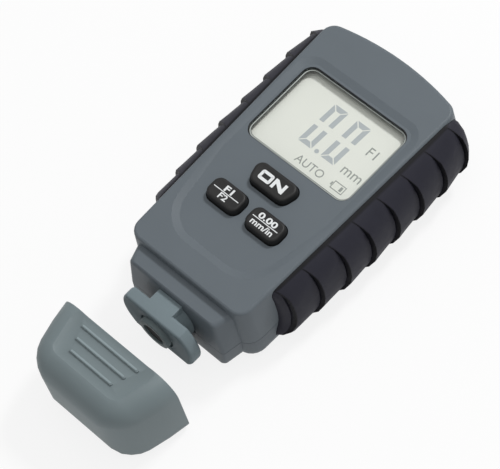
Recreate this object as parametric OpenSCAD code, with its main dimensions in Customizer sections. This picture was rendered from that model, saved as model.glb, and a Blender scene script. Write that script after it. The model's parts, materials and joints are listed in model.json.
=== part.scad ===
// Hand-held coating thickness gauge, lying on its back with its probe cap off.
// +Z is up through the display, +Y runs to the display end and the probe points to -Y.

/* [Body] */
// Length of the body between the cap seat and the display end
body_len = 95; // [88:1:110]
// How much narrower the face is at the probe end than at the display end
face_taper = 5; // [3:0.5:6]
// Thickness from the back to the face
body_t = 28; // [27:0.5:32]
// Thickness of the moulded walls
wall = 2.2; // [1.9:0.1:2.5]
// Radius of the bowed display end
end_arc_r = 100; // [70:5:200]
// Corner radius of the face in plan
corner_r = 4.5; // [3:0.5:6]
// Rounding of the face's edge
face_edge_r = 0.9; // [0.5:0.1:1.5]
// Rounding of the back's edge
back_edge_r = 6; // [2.5:0.5:6]
// How much wider each side is at the back than at the face
side_draft = 1.2; // [0.6:0.1:1.6]
// Height of the parting line above the back
seam_z = 11; // [10:0.5:12.5]

/* [Face] */
// Width of the window opening
window_w = 41.5; // [36:0.5:42]
// Height of the window opening
window_h = 30.4; // [26:0.2:31]
// Width of the face beside the window at the display end
window_side = 5.25; // [5:0.05:8]
// Corner radius of the window opening
window_r = 3.8; // [2:0.2:5]
// Distance from the display end to the middle of the window
window_from_end = 33; // [32:0.5:36]
// Depth of the dished panel round the window and keys
dish_depth = 0.6; // [0.3:0.1:0.8]
// Width of the dished panel's sloping edge
dish_slope = 2.4; // [1:0.2:3]

/* [Keys] */
// Distance from the middle of the window to the power key
power_key_below = 23.3; // [23.1:0.1:25]
// Distance from the middle of the window to the lower pair of keys
pair_key_below = 35; // [35:0.2:38]
// Distance of each lower key from the centre line
pair_key_x = 8; // [7.8:0.1:8.4]
// How far the keys stand out of the panel
key_proud = 2.5; // [1.4:0.1:3]
// Travel of a key
key_travel = 0.8; // [0.4:0.1:1]
// Gap round a key in its hole
key_gap = 0.3; // [0.25:0.05:0.5]

/* [Grips] */
// Distance from the display end to the start of a grip
grip_from_end = 3.8; // [3.4:0.2:8]
// Length of a grip along the face
grip_len = 78.8; // [70:0.2:80]
// Largest height of a grip above the side
grip_depth = 7.6; // [5:0.2:8.4]
// Depth of the pocket that a grip sits in
grip_seat = 0.9; // [0.6:0.1:1.1]
// How far the grooves swing towards the probe at the back
grip_swing = 6; // [3:0.5:8]
// Step at the end of each scale
scale_step = 1.2; // [0.6:0.1:1.6]
// Depth of the groove below the step
groove_cut = 0.7; // [0.3:0.1:1]
// Width of a groove
groove_w = 0.9; // [0.6:0.1:1.4]
// Number of grooves between scales
grooves = 8; // [6:1:10]

/* [Probe] */
// Distance from the body's end to the front of the probe disc
probe_reach = 14.8; // [14:0.2:17]
// Diameter of the probe disc
disc_d = 28.6; // [26:0.2:30]
// Height of the probe disc between its flats
disc_h = 18.2; // [17:0.2:20]
// Thickness of the probe disc
disc_t = 4.4; // [4:0.2:6]
// Width of the neck behind the disc
neck_w = 9.3; // [8:0.1:12]
// Diameter of the barrel that holds the plunger
barrel_d = 16; // [15.6:0.2:17]
// Diameter of the sprung sleeve
sleeve_d = 11.6; // [11:0.1:12]
// Thickness of the sleeve's wall
sleeve_wall = 1.8; // [1:0.1:2.2]
// Radial clearance of the sleeve in its guide
sleeve_fit = 0.05; // [0.02:0.01:0.08]
// Travel of the sprung sleeve
probe_travel = 1.5; // [0.8:0.1:2]

/* [Cap] */
// Length of the cap
cap_len = 21.5; // [21:0.5:26]
// Width of the cap at its mouth
cap_w = 47.2; // [46.6:0.2:48]
// Width of the cap at its closed end
cap_end_w = 36; // [35:0.5:40]
// Thickness of the cap's wall
cap_wall = 2.4; // [1.8:0.1:2.6]
// Gap between the cap and its seat
cap_gap = 0.3; // [0.25:0.05:0.4]
// Length of the cap seat
seat_len = 6.2; // [5:0.2:7]
// Distance between the cap and the body as it lies
cap_apart = 27.6; // [20:0.2:40]

/* [Battery] */
// Diameter of a cell
cell_d = 10.5; // [10:0.1:10.6]
// Length of a cell with its button
cell_len = 44.5; // [43:0.1:44.6]
// Width of the battery cover
door_w = 26.4; // [26:0.2:28]
// Gap round the battery cover
door_gap = 0.3; // [0.2:0.05:0.4]

/* [Hidden] */

// Facets of exact rounds, of hulled corners and of lofted arcs
round_fn = 48;
hull_fn = 24;
arc_steps = 5;
// Thickness of a slice that a hull is stretched over
skin = 0.01;
// Overlap that keeps cuts and unions clean
over = 1;
// Gap between pieces that rest on each other
rest_gap = 0.1;
// Open line between the two covers
seam_gap = 0.15;

// The face is as wide as its window needs, and the origin lies under the middle of the gauge and its cap
face_w_display = window_w + 2 * window_side;
face_w_probe = face_w_display - face_taper;
middle_shift = (cap_apart + cap_len - side_draft) / 2;
probe_end_y = middle_shift - body_len / 2;
display_end_y = middle_shift + body_len / 2;
window_y = display_end_y - window_from_end;
edge_top_z = body_t - face_edge_r;

// Face and the parts below it
roof = wall;
ceiling_z = body_t - roof;
dish_z = body_t - dish_depth;
dish_margin = 2;
dish_top_y = window_y + window_h / 2 + dish_margin;
dish_half_w = window_w / 2 + dish_margin;
dish_corner_r = 5;
dish_toe_r = 12;
dish_toe_x = 7.5;
dish_toe_below = 5.6;
dish_toe_y = window_y - pair_key_below - dish_toe_below;

// Display stack
lens_fit = 0.2;
lens_sunk = 0.2;
lens_rim = 1;
lens_rim_t = 0.8;
lens_rim_top = ceiling_z - key_gap;
lens_top = dish_z - lens_sunk;
glass_t = 1.8;
glass_gap = 0.4;
glass_top = lens_rim_top - lens_rim_t - glass_gap;
glass_side = 0.45;
glass_edge = 1.4;
glass_w = window_w + 2 * glass_side;
glass_h = window_h + 2 * glass_edge;
holder_wall = 0.8;
holder_lip = 0.2;
strip_w = 2;
strip_h = 5.4;
strip_short = 2;
strip_len = window_w - 2 * strip_short;
strip_edge = 2.4;
strip_y = glass_h / 2 - strip_edge;

// Board and switches
board_t = 1.6;
board_top = glass_top - glass_t - strip_h;
board_side = 0.8;
board_w = face_w_probe - 2 * (wall + board_side);
board_toe = 11.3;
board_head = 5.2;
board_y0 = window_y - pair_key_below - board_toe;
board_y1 = window_y + glass_h / 2 + board_head;
chip_w = 11;
chip_t = 1.5;
plug_size = [8, 4.6, 4];
plug_wall = 0.7;
plug_from_edge = 0.4;
switch_w = 6;
switch_h = 3.4;
switch_button_d = 3.4;
switch_button_h = 0.7;
switch_top = board_top + switch_h + switch_button_h;

// Keys
key_top = dish_z + key_proud;
key_flange = 0.8;
key_flange_t = 1.1;
key_flange_top = ceiling_z - key_gap;
key_stem_d = 4;
key_play = 0.3;
key_stem_end = switch_top + key_travel + key_play;
key_edge_r = 0.8;
key_taper = 0.15;
power_key_y = window_y - power_key_below;
pair_key_y = window_y - pair_key_below;
power_top_w = 18.2;
power_low_w = 13.8;
power_h = 7.8;
pair_w = 12.9;
pair_h = 7.8;
key_corner_r = 2.8;

// Grips, measured from the side of the body
grip_y0 = display_end_y - grip_from_end;
grip_y1 = grip_y0 - grip_len;
grip_border = 0.1;
grip_h = 21.4;
grip_top_z = body_t - face_edge_r - grip_border;
grip_low_z = grip_top_z - grip_h;
grip_corner_r = 4;
grip_round = 5;
grip_hook = 1.7;
grip_hook_end = 0.25;
grip_crest = 0.55;
grip_thin_display = [17, 0.22];
grip_thin_probe = [30, 0.42];
grip_first = 3.6;
grip_last = 2.8;
grip_pitch = (grip_len - grip_first - grip_last) / (grooves - 1);
grip_fit = 0.15;
grip_rows = 10;

// Cap and its seat on the two covers
cap_edge_r = 7;
cap_inner_r = 3.6;
cap_foot_r = 4;
cap_inner_foot_r = 1.6;
cap_end_r = 8;
cap_bow = 1.3;
cap_y = probe_end_y - cap_apart;
cap_dish = 0.4;
ridge_w = 1.1;
ridge_h = 0.5;
ridge_len = 22.6;
ridge_less = 3;
ridge_first = 3;
ridge_gap = 3.9;
ridges = 3;
field_side = 4.5;
field_flare = 2;
field_r = 3;
field_len = ridge_gap * ridges + 2.4;
seat_inset = cap_wall + cap_gap;
seat_half = cap_w / 2 - seat_inset;
seat_lean = 1.3;
seat_top_z = body_t - seat_inset;
seat_edge_r = 1.5;
seat_foot_r = 3.5;
seat_wall = 2;
seat_front_y = probe_end_y - seat_len;
seat_slack = 1.1;
seat_rake = 1.6;
seat_corner_r = 1.5;

// Probe, measured along its axis from the disc's front
probe_z = body_t / 2;
probe_front_y = probe_end_y - probe_reach;
seat_s = probe_reach - seat_len;
disc_edge_r = 1;
barrel_fit = 0.15;
guide_r = sleeve_d / 2 + sleeve_fit;
mouth_lip = 0.7;
mouth_r = guide_r + mouth_lip;
mouth_depth = 2.2;
step_w = 0.9;
rear_bore_r = guide_r + step_w;
step_s = 12;
shoulder_gap = 0.3;
shoulder_s = step_s + shoulder_gap;
shoulder_t = 1.8;
shoulder_fit = 0.2;
shoulder_r = rear_bore_r - shoulder_fit;
sleeve_proud = probe_travel;
core_sunk = 0.5;
core_proud = sleeve_proud - core_sunk;
core_len = 6;
core_fit = 0.05;
core_tip_r = 0.5;
core_r = sleeve_d / 2 - sleeve_wall - core_fit;
lead_hole_r = 1.2;
core_stem_r = 2;
coil_gap = 0.2;
coil_len = 4;
sleeve_rear_s = shoulder_s + shoulder_t;
sleeve_floor_s = core_len + coil_len + 3 * coil_gap;
spring_wire_r = 0.4;
spring_turns = 5;
spring_s0 = sleeve_rear_s + rest_gap;
spring_len = 5.8;
plug_depth = 0.8;
barrel_end_s = spring_s0 + spring_len + rest_gap + plug_depth;
collar_w = 1.1;
collar_r = barrel_d / 2 + collar_w;
collar_t = 1.5;
end_cap_t = 1.5;

// Battery bay
door_t = 1.8;
door_low = 0.3;
door_top = door_low + door_t;
door_lip = 7;
tongue_w = 1;
tongue_t = 0.9;
cell_gap = 0.3;
cell_between = 0.5;
cell_side = 0.45;
cell_r = cell_d / 2;
cell_z = door_top + cell_gap + cell_r;
cell_x = cell_r + cell_between / 2;
bay_half = cell_x + cell_r + cell_side;
bay_wall = 1.4;
bay_roof = 0.8;
bay_ceiling = cell_z + cell_r + cell_gap;
bay_top = bay_ceiling + bay_roof;
contact_t = 0.4;
contact_h = 8;
cell_spring_len = 4.2;
cell_spring_r = 3;
bay_len = cell_len + cell_spring_len + 2 * contact_t + 4 * rest_gap;
bay_from_end = 7.2;
bay_y1 = display_end_y - bay_from_end;
bay_y0 = bay_y1 - bay_len;
rail_w = 3;
rail_top = 4.4;
door_over = 0.8;
door_y0 = bay_y0 - door_over;
lip_hollow = 3.2;
thumb_grooves = 4;
thumb_from = 6;
thumb_pitch = 2.4;
thumb_size = [10.6, 1.2, 0.5];

// Screws
case_screw_x = 17.5;
case_screw_from_end = 8;
case_screw_from_seat = 8.5;
case_screw_y = [display_end_y - case_screw_from_end, probe_end_y + case_screw_from_seat];
boss_r = 3;
boss_z = 9;
screw_r = 1.3;
screw_fit = 0.2;
screw_head_r = 2.3;
screw_head_t = 1.7;
screw_head_z = 4;
screw_len = 12;
board_boss_r = 1.9;
board_screw_r = 0.9;
board_screw_len = 4;
board_screw_head_r = 1.7;
board_screw_head_t = 1;
board_screw_low = [17.4, 6.2];
board_screw_high = [9, 2];
board_screw_at = [[board_screw_low[0], pair_key_y - board_screw_low[1]],
                  [board_screw_high[0], board_y1 - board_screw_high[1]]];

// Slopes of the sides along the body and up the body
side_taper = (face_w_display - face_w_probe) / 2 / body_len;
side_lean = -side_draft / (edge_top_z - back_edge_r);

// Half-width of the face at a place along the body
function face_half(y) = face_w_probe / 2 + side_taper * (y - probe_end_y);

// How far the side stands out beyond the face's outline at a height
function draft_at(z) = side_lean * (z - edge_top_z);

// Outer surface of the side of the body
function side_x(y, z) = face_half(y) + draft_at(z);

// Y of the bowed display end at a distance from the centre line
function bow_y(x) = display_end_y - end_arc_r + sqrt(end_arc_r * end_arc_r - x * x);

function smooth(t) = let (c = min(1, max(0, t))) c * c * (3 - 2 * c);

// Face outline in plan, before its corners are rounded
bow_steps = 16;
outline = concat(
    [[-face_w_probe / 2, probe_end_y], [face_w_probe / 2, probe_end_y]],
    [for (i = [0 : bow_steps])
        let (x = face_w_display / 2 * (1 - 2 * i / bow_steps)) [x, bow_y(x)]]);

module face_outline(grow) {
    offset(delta = grow)
        offset(r = corner_r, $fn = hull_fn)
            offset(delta = -corner_r)
                polygon(outline);
}

module body_slice(z, grow) {
    translate([0, 0, z]) linear_extrude(skin) face_outline(grow);
}

// Upper half of the body's outer form
module front_form() {
    hull() {
        body_slice(seam_z + seam_gap, draft_at(seam_z));
        for (i = [0 : arc_steps - 2])
            let (a = 90 * i / (arc_steps - 2))
                body_slice(edge_top_z + face_edge_r * sin(a) - skin, -face_edge_r * (1 - cos(a)));
    }
}

// Lower half of the body's outer form
module rear_form() {
    hull() {
        body_slice(seam_z - skin, draft_at(seam_z));
        for (i = [0 : arc_steps])
            let (a = 90 * i / arc_steps)
                body_slice(back_edge_r * (1 - cos(a)), side_draft - back_edge_r * (1 - sin(a)));
    }
}

module front_hollow() {
    hull() {
        body_slice(seam_z - over, draft_at(seam_z) - wall);
        body_slice(ceiling_z - skin, -wall);
    }
}

module rear_hollow() {
    hull() {
        body_slice(seam_z, draft_at(seam_z) - wall);
        body_slice(back_edge_r, side_draft - wall);
        body_slice(wall, side_draft - back_edge_r + wall / 2);
    }
}

// Height in the seat above the seam, as a share
function seat_share(z) = max(0, z - seam_z) / (seat_top_z - seam_z);

// How far the seat's front stands out at a height, beyond its top
function seat_rake_at(z) = seat_rake * (seat_top_z - z) / (seat_top_z - seat_inset);

// Plan of the cap seat at one height, narrowing to its front as the cap does and reaching back into the body
module seat_slice(z, half, front) {
    run = seat_len + seat_rake_at(z) - front;
    toe = half - (cap_half(0) - cap_half(run)) - seat_slack * seat_share(z);
    toe_y = probe_end_y - run;
    translate([0, 0, z]) linear_extrude(skin)
        offset(r = seat_corner_r, $fn = hull_fn) offset(delta = -seat_corner_r)
            polygon([[-toe, toe_y], [toe, toe_y],
                     [half, probe_end_y], [half, probe_end_y + wall],
                     [-half, probe_end_y + wall], [-half, probe_end_y]]);
}

function seat_half_at(z) = seat_half - seat_lean * seat_share(z);

module seat_upper() {
    hull() {
        seat_slice(seam_z + seam_gap, seat_half, 0);
        for (i = [0 : 3])
            let (a = 30 * i, z = seat_top_z - seat_edge_r * (1 - sin(a)), in = seat_edge_r * (1 - cos(a)))
                seat_slice(z - skin, seat_half_at(z) - in, in / 2);
    }
}

module seat_lower() {
    hull() {
        seat_slice(seam_z - skin, seat_half, 0);
        for (i = [0 : 4])
            let (a = 22.5 * i, in = seat_foot_r * (1 - sin(a)))
                seat_slice(seat_inset + seat_foot_r * (1 - cos(a)), seat_half - in, in / 4);
    }
}

// Room inside the cap seat, open to the body
module seat_hollow(z0, z1) {
    half = seat_half - seat_lean - (cap_half(0) - cap_half(seat_len)) - seat_slack - seat_wall;
    translate([-half, seat_front_y + seat_wall, z0])
        cube([2 * half, seat_len + over, z1 - z0]);
}

module rounded_plate(w, h, r, t) {
    linear_extrude(t) {
        square([w - 2 * r, h], center = true);
        square([w, h - 2 * r], center = true);
        for (sx = [-1, 1], sy = [-1, 1])
            translate([sx * (w / 2 - r), sy * (h / 2 - r)]) circle(r, $fn = round_fn);
    }
}

module rod(r, z0, z1) {
    translate([0, 0, z0]) cylinder(r = r, h = z1 - z0, $fn = round_fn);
}

// Places children on the probe's axis, with +Z of the child running into the body
module on_probe_axis() {
    translate([0, probe_front_y, probe_z]) rotate([-90, 0, 0]) children();
}

module at_case_screws() {
    for (sx = [-1, 1], y = case_screw_y)
        translate([sx * case_screw_x, y, 0]) children();
}

module at_board_screws() {
    for (sx = [-1, 1], p = board_screw_at)
        translate([sx * p[0], p[1], 0]) children();
}

// Faces that close a ring of n points, as a strip between its two halves
function end_strip(n) =
    [for (i = [0 : n / 2 - 2]) each [[i, i + 1, n - 2 - i], [i, n - 2 - i, n - 1 - i]]];

// Closed skin over rings with the same even number of points
module loft(rings) {
    n = len(rings[0]);
    last = len(rings) - 1;
    sides = [for (i = [0 : last - 1], j = [0 : n - 1])
        let (a = i * n + j, b = i * n + (j + 1) % n)
            each [[a, b, b + n], [a, b + n, a + n]]];
    first_end = [for (t = end_strip(n)) [t[2], t[1], t[0]]];
    last_end = [for (t = end_strip(n)) [for (k = t) last * n + k]];
    polyhedron(points = [for (r = rings) each r], faces = concat(sides, first_end, last_end), convexity = 8);
}

// Round wire wound along +Z
module wound_wire(r, wire_r, length, turns) {
    per_turn = 14;
    sides = 6;
    rise = length - 2 * wire_r;
    loft([for (i = [0 : turns * per_turn])
        let (a = 360 * i / per_turn, z = wire_r + rise * i / (turns * per_turn))
            [for (j = [0 : sides - 1])
                let (b = 360 * j / sides, d = r + wire_r * cos(b))
                    [d * cos(a), d * sin(a), z + wire_r * sin(b)]]]);
}

// Outlines of the keys
module power_key_plan(grow) {
    offset(r = key_corner_r + grow, $fn = hull_fn)
        offset(delta = -key_corner_r)
            polygon([[-power_top_w / 2, power_h / 2], [power_top_w / 2, power_h / 2],
                     [power_low_w / 2, -power_h / 2], [-power_low_w / 2, -power_h / 2]]);
}

module pair_key_plan(grow) {
    offset(r = key_corner_r + grow, $fn = hull_fn)
        square([pair_w - 2 * key_corner_r, pair_h - 2 * key_corner_r], center = true);
}

module key_plan(kind, grow) {
    if (kind == "power") power_key_plan(grow);
    else pair_key_plan(grow);
}

// Tapered key with a rounded top, a flange below the face and a stem down to its switch
module key_form(kind) {
    hull() {
        translate([0, 0, key_flange_top - skin]) linear_extrude(skin) key_plan(kind, 0);
        translate([0, 0, dish_z]) linear_extrude(skin) key_plan(kind, 0);
        for (i = [0 : 3])
            let (a = 30 * i, z = key_top - key_edge_r * (1 - sin(a)))
                translate([0, 0, z - skin])
                    linear_extrude(skin) key_plan(kind, -key_taper - key_edge_r * (1 - cos(a)));
    }
    translate([0, 0, key_flange_top - key_flange_t]) linear_extrude(key_flange_t) key_plan(kind, key_flange);
    rod(key_stem_d / 2, key_stem_end, key_flange_top - key_flange_t / 2);
}

module key_hole(kind) {
    translate([0, 0, ceiling_z - over]) linear_extrude(roof + 2 * over) key_plan(kind, key_gap);
}

// Outline of the dished panel
module dish_plan(grow) {
    hull() {
        for (sx = [-1, 1]) {
            translate([sx * (dish_half_w - dish_corner_r), dish_top_y - dish_corner_r])
                circle(dish_corner_r + grow, $fn = hull_fn);
            translate([sx * (dish_half_w - dish_corner_r), power_key_y])
                circle(dish_corner_r + grow, $fn = hull_fn);
            translate([sx * dish_toe_x, dish_toe_y])
                circle(dish_toe_r + grow, $fn = 2 * hull_fn);
        }
    }
}

module dish() {
    hull() {
        translate([0, 0, dish_z]) linear_extrude(skin) dish_plan(-dish_slope / 2);
        translate([0, 0, body_t]) linear_extrude(skin) dish_plan(dish_slope / 2);
    }
}

// Rows of points along a grip, each with the height of the scales there: a scale rises to its probe end,
// drops into a narrow groove and comes back to the next scale's start
function scale_lift(share) = scale_step * pow(share, 1.3);
function groove_y(k) = grip_y0 - grip_first - k * grip_pitch;
grip_stations = concat(
    [for (d = [0, 0.5, 1.4]) [grip_y0 - d, scale_lift(1 - (grip_first - d) / grip_pitch)]],
    [for (k = [0 : grooves - 1])
        each concat(
            [[groove_y(k), scale_step],
             [groove_y(k) - groove_w * 0.4, -groove_cut],
             [groove_y(k) - groove_w, 0]],
            [for (f = [0.35, 0.65, 0.88])
                if (k < grooves - 1) [groove_y(k) - f * grip_pitch, scale_lift(f)]])],
    [for (d = [1.2, 0.5, 0]) [grip_y1 + d, 0]]);

// Share of full size that is left near a grip's end
function end_share(d, r) = d >= r ? 1 : sqrt(max(0, 1 - pow((r - d) / r, 2)));

// Share of a grip's height that is lost near an end, for a run and a largest loss
function end_loss(d, thin) = thin[1] * pow(max(0, 1 - d / thin[0]), 1.3);

// Place on a grip's outline: y along the body, v from its top edge down to its bottom edge.
// The grooves lag behind towards the probe near the top and, more so, near the back
function grip_tuck(y) =
    grip_corner_r * (1 - end_share(min(grip_y0 - y, y - grip_y1), grip_corner_r));
function groove_lag(w) =
    grip_hook * pow(max(0, 1 - w / grip_hook_end), 2) + grip_swing * pow(w, 6);
function grip_place(y, v) =
    let (top = grip_top_z - grip_tuck(y), low = grip_low_z + grip_tuck(y), z = top + (low - top) * v)
        [y - groove_lag((grip_top_z - z) / (grip_top_z - grip_low_z)), z];

// Shares of the way down a grip, closer together near its edges
grip_shares = [for (i = [0 : grip_rows]) (1 - cos(180 * i / grip_rows)) / 2];

// Section of a grip from its top edge to its bottom edge, full and blunt below its crest
function grip_arch(v) = v < grip_crest
    ? pow(1 - pow(1 - v / grip_crest, 2.3), 0.66)
    : sqrt(max(0, 1 - pow((v - grip_crest) / (1 - grip_crest), 4)));

// Height of a grip above the side, thinner towards both of its ends
function grip_rise(y, v, lift) =
    let (from_display = grip_y0 - y, from_probe = y - grip_y1,
         fade = smooth((v - 0.06) / 0.12) * smooth((1 - v) / 0.14),
         round = 0.15 + 0.85 * end_share(min(from_display, from_probe), grip_round),
         thinned = 1 - end_loss(from_display, grip_thin_display) - end_loss(from_probe, grip_thin_probe))
        round * (thinned * (grip_depth - scale_step) * grip_arch(v) + fade * lift);

function grip_point(y, v, rise) = let (p = grip_place(y, v)) [side_x(p[0], p[1]) + rise, p[0], p[1]];

// One ring of a grip's skin: down the rubber's outside, then up its flat back
function grip_ring(y, lift) = concat(
    [for (v = grip_shares) grip_point(y, v, grip_rise(y, v, lift))],
    [for (i = [grip_rows : -1 : 0]) grip_point(y, grip_shares[i], grip_fit - grip_seat)]);

// Right-hand grip
module grip_form() {
    loft([for (s = grip_stations) grip_ring(s[0], s[1])]);
}

// Side view of a grip's outline, all the way round
grip_ends = [for (s = grip_stations) if (min(grip_y0 - s[0], s[0] - grip_y1) < 2 * grip_corner_r) s[0]];
grip_outline = concat(
    [for (y = grip_ends) grip_place(y, 0)],
    [for (i = [1 : grip_rows - 1]) grip_place(grip_y1, grip_shares[i])],
    [for (i = [len(grip_ends) - 1 : -1 : 0]) grip_place(grip_ends[i], 1)],
    [for (i = [grip_rows - 1 : -1 : 1]) grip_place(grip_y0, grip_shares[i])]);

// Pocket in the sides of the covers for the right-hand grip, with its floor along the side
module grip_pocket() {
    multmatrix([[1, side_taper, side_lean, side_x(0, 0) - grip_seat], [0, 1, 0, 0], [0, 0, 1, 0]])
        rotate([90, 0, 90])
            linear_extrude(grip_seat + grip_depth)
                offset(delta = grip_fit) polygon(grip_outline);
}

module front_cover() {
    color([0.42, 0.46, 0.48])
    difference() {
        union() {
            difference() {
                union() {
                    front_form();
                    seat_upper();
                }
                front_hollow();
                seat_hollow(seam_z - over, seat_top_z - seat_wall);
            }
            at_case_screws() rod(boss_r, boss_z + rest_gap, ceiling_z + roof / 2);
            at_board_screws() rod(board_boss_r, board_top + rest_gap, ceiling_z + roof / 2);
        }
        dish();
        translate([0, window_y, ceiling_z - over])
            rounded_plate(window_w, window_h, window_r, roof + 2 * over);
        translate([0, power_key_y, 0]) key_hole("power");
        for (sx = [-1, 1]) translate([sx * pair_key_x, pair_key_y, 0]) key_hole("pair");
        for (sx = [0, 1]) mirror([sx, 0, 0]) grip_pocket();
        on_probe_axis() rod(barrel_d / 2 + barrel_fit, seat_s - seat_rake, seat_s + seat_wall + over);
        translate([-barrel_d / 2 - barrel_fit, seat_front_y - seat_rake, seam_z - over])
            cube([barrel_d + 2 * barrel_fit, seat_wall + seat_rake + over, probe_z - seam_z + over]);
        at_case_screws()
            rod(screw_r - screw_fit, boss_z - over, screw_head_z + screw_head_t + screw_len + over);
        at_board_screws() rod(board_screw_r, board_top - over, board_top + board_screw_len);
    }
}

// Space that the battery cover takes, with its side tongues
module door_space(gap) {
    long = display_end_y - door_y0 + side_draft + over;
    translate([-door_w / 2 - gap, door_y0 - gap, -over])
        cube([door_w + 2 * gap, long + gap, door_top + gap + over]);
    translate([-door_w / 2 - tongue_w - gap, door_y0 - gap, door_top - tongue_t - gap])
        cube([door_w + 2 * tongue_w + 2 * gap, long + gap, tongue_t + 2 * gap]);
    translate([-door_w / 2 - gap, bay_y1 + bay_wall + gap, -over])
        cube([door_w + 2 * gap, long, door_lip + gap + over]);
}

module rear_cover() {
    color([0.40, 0.44, 0.46])
    difference() {
        union() {
            difference() {
                union() {
                    rear_form();
                    seat_lower();
                }
                rear_hollow();
                seat_hollow(seat_inset + seat_wall, seam_z + over);
            }
            translate([-bay_half - bay_wall, bay_y0 - bay_wall, wall / 2])
                cube([2 * (bay_half + bay_wall), bay_len + 2 * bay_wall, bay_top - wall / 2]);
            translate([-door_w / 2 - rail_w, bay_y0 - bay_wall - rail_w, wall / 2])
                cube([door_w + 2 * rail_w, bay_len + 2 * (bay_wall + rail_w), rail_top - wall / 2]);
            at_case_screws() rod(boss_r + 0.2, wall / 2, boss_z);
            translate([-barrel_d / 2, seat_front_y - seat_rake_at(probe_z), seam_z - 2 * over])
                cube([barrel_d, seat_wall + seat_rake_at(probe_z), probe_z - seam_z + 2 * over - rest_gap]);
        }
        translate([-bay_half, bay_y0, -over]) cube([2 * bay_half, bay_len, bay_ceiling + over]);
        door_space(door_gap);
        for (sx = [0, 1]) mirror([sx, 0, 0]) grip_pocket();
        on_probe_axis() rod(barrel_d / 2 + barrel_fit, seat_s - seat_rake, seat_s + seat_wall + over);
        at_case_screws() {
            rod(screw_head_r + screw_fit, -over, screw_head_z + screw_head_t);
            rod(screw_r + screw_fit, 0, boss_z + over);
        }
    }
}

module battery_cover() {
    color([0.40, 0.44, 0.46])
    difference() {
        intersection() {
            rear_form();
            door_space(0);
        }
        translate([-door_w, door_y0 - over, -over]) cube([2 * door_w, body_len, over + door_low]);
        translate([-door_w / 2 - tongue_w - over, door_y0 - over, door_top])
            cube([door_w + 2 * tongue_w + 2 * over, bay_y1 + bay_wall + door_gap + over - door_y0, door_lip]);
        translate([-door_w / 2 + wall, bay_y1, door_top])
            cube([door_w - 2 * wall, lip_hollow + bay_wall, door_lip + over]);
        for (i = [0 : thumb_grooves - 1])
            translate([-thumb_size[0] / 2, bay_y1 - thumb_from - thumb_pitch * i, 0])
                cube([thumb_size[0], thumb_size[1], door_low + thumb_size[2]]);
    }
}

module right_grip() { color([0.2, 0.2, 0.22]) grip_form(); }

module left_grip() { color([0.2, 0.2, 0.22]) mirror([1, 0, 0]) grip_form(); }

module display_window() {
    color([0.85, 0.9, 0.92, 0.5])
    translate([0, window_y, 0]) {
        translate([0, 0, lens_rim_top - lens_rim_t / 2])
            rounded_plate(window_w - 2 * lens_fit, window_h - 2 * lens_fit, window_r - lens_fit,
                          lens_top - lens_rim_top + lens_rim_t / 2);
        translate([0, 0, lens_rim_top - lens_rim_t])
            rounded_plate(window_w + 2 * lens_rim, window_h + 2 * lens_rim, window_r, lens_rim_t);
    }
}

module lcd_glass() {
    color([0.88, 0.9, 0.84])
    translate([-glass_w / 2, window_y - glass_h / 2, glass_top - glass_t]) cube([glass_w, glass_h, glass_t]);
}

module lcd_holder() {
    base = board_top + rest_gap;
    color([0.1, 0.1, 0.1])
    translate([0, window_y, 0])
    difference() {
        translate([-glass_w / 2 - holder_wall, -glass_h / 2 - holder_wall, base])
            cube([glass_w + 2 * holder_wall, glass_h + 2 * holder_wall, glass_top + holder_lip - base]);
        translate([-glass_w / 2 - rest_gap, -glass_h / 2 - rest_gap, glass_top - glass_t - rest_gap])
            cube([glass_w + 2 * rest_gap, glass_h + 2 * rest_gap, glass_t + over]);
        translate([-strip_len / 2, -strip_y + strip_w, base - over])
            cube([strip_len, 2 * (strip_y - strip_w), glass_top]);
        for (sy = [-1, 1])
            translate([-strip_len / 2 - rest_gap, sy * strip_y - strip_w / 2 - rest_gap, base - over])
                cube([strip_len + 2 * rest_gap, strip_w + 2 * rest_gap, glass_top]);
    }
}

module contact_strips() {
    color([0.85, 0.55, 0.6])
    for (sy = [-1, 1])
        translate([-strip_len / 2, window_y + sy * strip_y - strip_w / 2, board_top])
            cube([strip_len, strip_w, glass_top - glass_t - board_top]);
}

module main_board() {
    color([0.1, 0.4, 0.2])
    difference() {
        translate([-board_w / 2, board_y0, board_top - board_t])
            cube([board_w, board_y1 - board_y0, board_t]);
        at_board_screws() rod(board_screw_r + screw_fit, board_top - board_t - over, board_top + over);
    }
}

module control_chip() {
    color([0.12, 0.12, 0.12])
    translate([-chip_w / 2, window_y - chip_w / 2, board_top]) cube([chip_w, chip_w, chip_t]);
}

module lead_plug() {
    color([0.9, 0.88, 0.8])
    translate([-plug_size[0] / 2, board_y0 + plug_from_edge, board_top])
        difference() {
            cube(plug_size);
            translate([plug_wall, -over, plug_wall])
                cube([plug_size[0] - 2 * plug_wall,
                      plug_size[1] - plug_wall + over,
                      plug_size[2] - 2 * plug_wall]);
        }
}

module key_switch() {
    translate([-switch_w / 2, -switch_w / 2, board_top]) cube([switch_w, switch_w, switch_h]);
    rod(switch_button_d / 2, board_top + switch_h / 2, switch_top);
}

module key_switches() {
    color([0.15, 0.15, 0.16]) {
        translate([0, power_key_y, 0]) key_switch();
        for (sx = [-1, 1]) translate([sx * pair_key_x, pair_key_y, 0]) key_switch();
    }
}

module key_power() { color([0.16, 0.16, 0.16]) translate([0, power_key_y, 0]) key_form("power"); }

module key_mode() { color([0.16, 0.16, 0.16]) translate([-pair_key_x, pair_key_y, 0]) key_form("pair"); }

module key_zero() { color([0.16, 0.16, 0.16]) translate([pair_key_x, pair_key_y, 0]) key_form("pair"); }

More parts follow.
